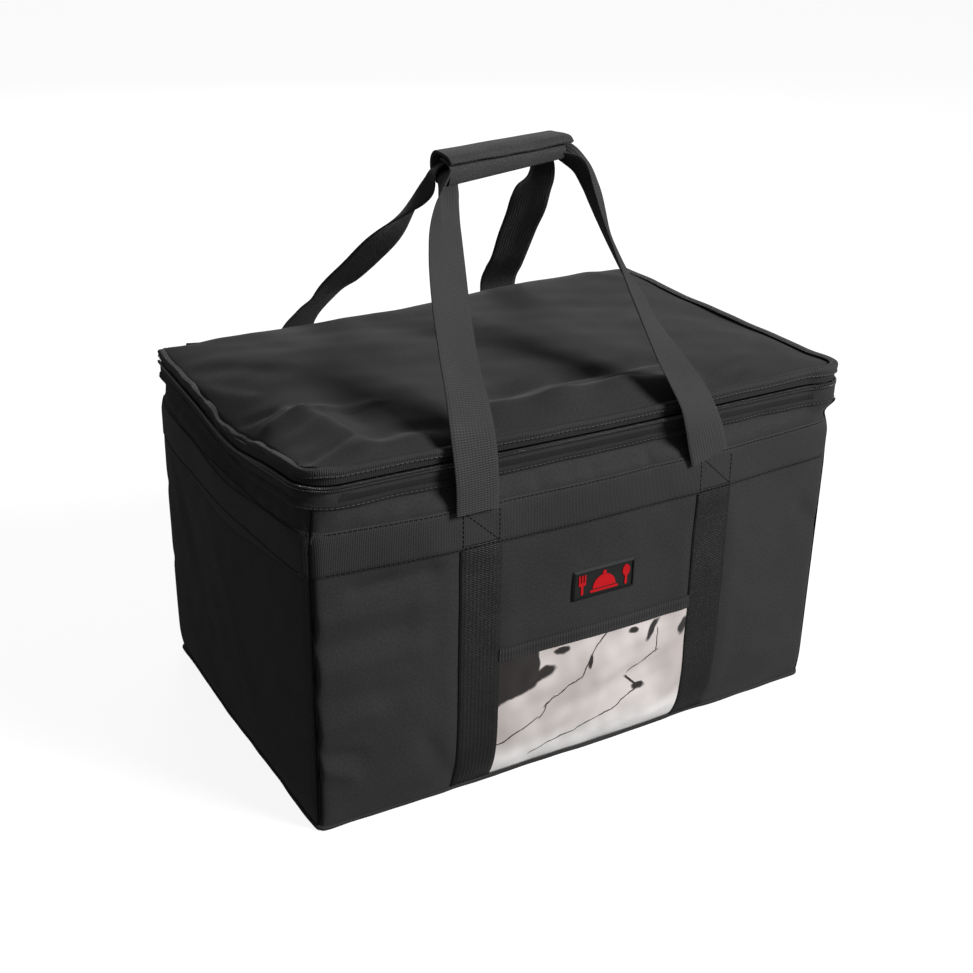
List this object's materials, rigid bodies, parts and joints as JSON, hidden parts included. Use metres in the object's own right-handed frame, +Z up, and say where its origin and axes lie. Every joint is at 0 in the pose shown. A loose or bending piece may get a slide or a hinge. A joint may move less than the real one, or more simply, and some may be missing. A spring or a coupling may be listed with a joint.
{
  "type": "insulated food carrier",
  "caption": "Soft rectangular insulated carrier with a zipped hinged lid, joined webbing handles with a padded wrap, a clear front pocket and a rubber badge.",
  "frame": {"origin": "centre of the footprint, on the surface that the carrier stands on", "axes": "+X along the length, to the right seen from the pocket side; +Y from the front (pocket side) to the back (hinge side); +Z up"},
  "size_m": [0.592, 0.4196, 0.57],
  "materials": {
    "shell_fabric": "matte",
    "foam": "matte",
    "base_board": "matte",
    "liner": "satin",
    "binding_tape": "matte",
    "band_webbing": "matte",
    "sling_webbing": "satin",
    "handle_webbing": "matte",
    "zip_tape": "matte",
    "zip_coil": "satin",
    "clear_film": "gloss",
    "badge_rubber": "matte",
    "badge_red": "satin",
    "grip_fabric": "matte",
    "hook_and_loop": "matte",
    "slider_metal": "satin"
  },
  "bodies": {
    "root": {"front_panel": "shell_fabric", "right_panel": "shell_fabric", "back_panel": "shell_fabric", "left_panel": "shell_fabric", "front_foam": "foam", "right_foam": "foam", "back_foam": "foam", "left_foam": "foam", "bottom_panel": "shell_fabric", "base_board": "base_board", "bottom_foam": "foam", "liner_floor": "liner", "liner_walls": "liner", "bottom_binding": "binding_tape", "girth_band": "band_webbing", "left_sling_front": "sling_webbing", "left_sling_under": "sling_webbing", "left_sling_back": "sling_webbing", "right_sling_front": "sling_webbing", "right_sling_under": "sling_webbing", "right_sling_back": "sling_webbing", "rim_binding": "binding_tape", "lower_zip_tape": "zip_tape", "lower_zip_coil": "zip_coil", "zip_end_stops": "zip_coil", "back_hinge_strip": "shell_fabric", "pocket_film": "clear_film", "pocket_trim": "binding_tape", "badge_patch": "badge_rubber", "badge_emblem": "badge_red"},
    "lid": {"upper_zip_coil": "zip_coil", "upper_zip_tape": "zip_tape", "lid_edge_binding": "binding_tape", "lid_panel": "shell_fabric", "lid_foam": "foam", "lid_liner": "liner"},
    "front_strap_roots": {"front_left_strap_root": "handle_webbing", "front_right_strap_root": "handle_webbing"},
    "back_strap_roots": {"back_left_strap_root": "handle_webbing", "back_right_strap_root": "handle_webbing"},
    "front_handle": {"front_left_handle_leg": "handle_webbing", "front_right_handle_leg": "handle_webbing", "front_grip_webbing": "handle_webbing", "grip_lower_wing": "grip_fabric", "loop_strip": "hook_and_loop"},
    "back_handle": {"back_left_handle_leg": "handle_webbing", "back_right_handle_leg": "handle_webbing", "back_grip_webbing": "handle_webbing", "grip_back_pad": "grip_fabric"},
    "grip_flap": {"grip_flap_pad": "grip_fabric", "hook_strip": "hook_and_loop"},
    "front_slider": {"front_slider": "slider_metal"},
    "back_slider": {"back_slider": "slider_metal"},
    "front_pull": {"front_pull": "slider_metal"},
    "back_pull": {"back_pull": "slider_metal"}
  },
  "joints": [
    {"name": "lid_open", "type": "hinge", "parent": "root", "child": "lid", "pos_m": [0, 0.1905, 0.359], "axis": [-1, 0, 0], "range_deg": [0, 100]},
    {"name": "front_roots_fold", "type": "hinge", "parent": "root", "child": "front_strap_roots", "pos_m": [0, -0.2, 0.307], "axis": [1, 0, 0], "range_deg": [0, 146]},
    {"name": "back_roots_fold", "type": "hinge", "parent": "root", "child": "back_strap_roots", "pos_m": [0, 0.2, 0.307], "axis": [-1, 0, 0], "range_deg": [0, 146]},
    {"name": "front_handle_fold", "type": "hinge", "parent": "front_strap_roots", "child": "front_handle", "pos_m": [0, -0.209, 0.374], "axis": [1, 0, 0], "range_deg": [0, 51]},
    {"name": "back_handle_fold", "type": "hinge", "parent": "back_strap_roots", "child": "back_handle", "pos_m": [0, 0.209, 0.374], "axis": [-1, 0, 0], "range_deg": [0, 51]},
    {"name": "grip_flap_open", "type": "hinge", "parent": "back_handle", "child": "grip_flap", "pos_m": [0, 0.01, 0.5662], "axis": [-1, 0, 0], "range_deg": [0, 165]},
    {"name": "front_slider_run", "type": "slide", "parent": "root", "child": "front_slider", "axis": [0, -1, 0], "range_m": [0, 0.188]},
    {"name": "back_slider_run", "type": "slide", "parent": "root", "child": "back_slider", "axis": [0, 1, 0], "range_m": [0, 0.086]},
    {"name": "front_pull_swing", "type": "hinge", "parent": "front_slider", "child": "front_pull", "pos_m": [0.2932, 0.04, 0.3479], "axis": [0, -1, 0], "range_deg": [0, 165]},
    {"name": "back_pull_swing", "type": "hinge", "parent": "back_slider", "child": "back_pull", "pos_m": [0.2932, 0.062, 0.3479], "axis": [0, -1, 0], "range_deg": [0, 165]}
  ],
  "couplings": [
    {"joint": "front_roots_fold", "follows": "lid_open", "ratio": 1.45},
    {"joint": "back_roots_fold", "follows": "lid_open", "ratio": 1.45},
    {"joint": "front_handle_fold", "follows": "lid_open", "ratio": 0.5},
    {"joint": "back_handle_fold", "follows": "lid_open", "ratio": 0.5}
  ]
}
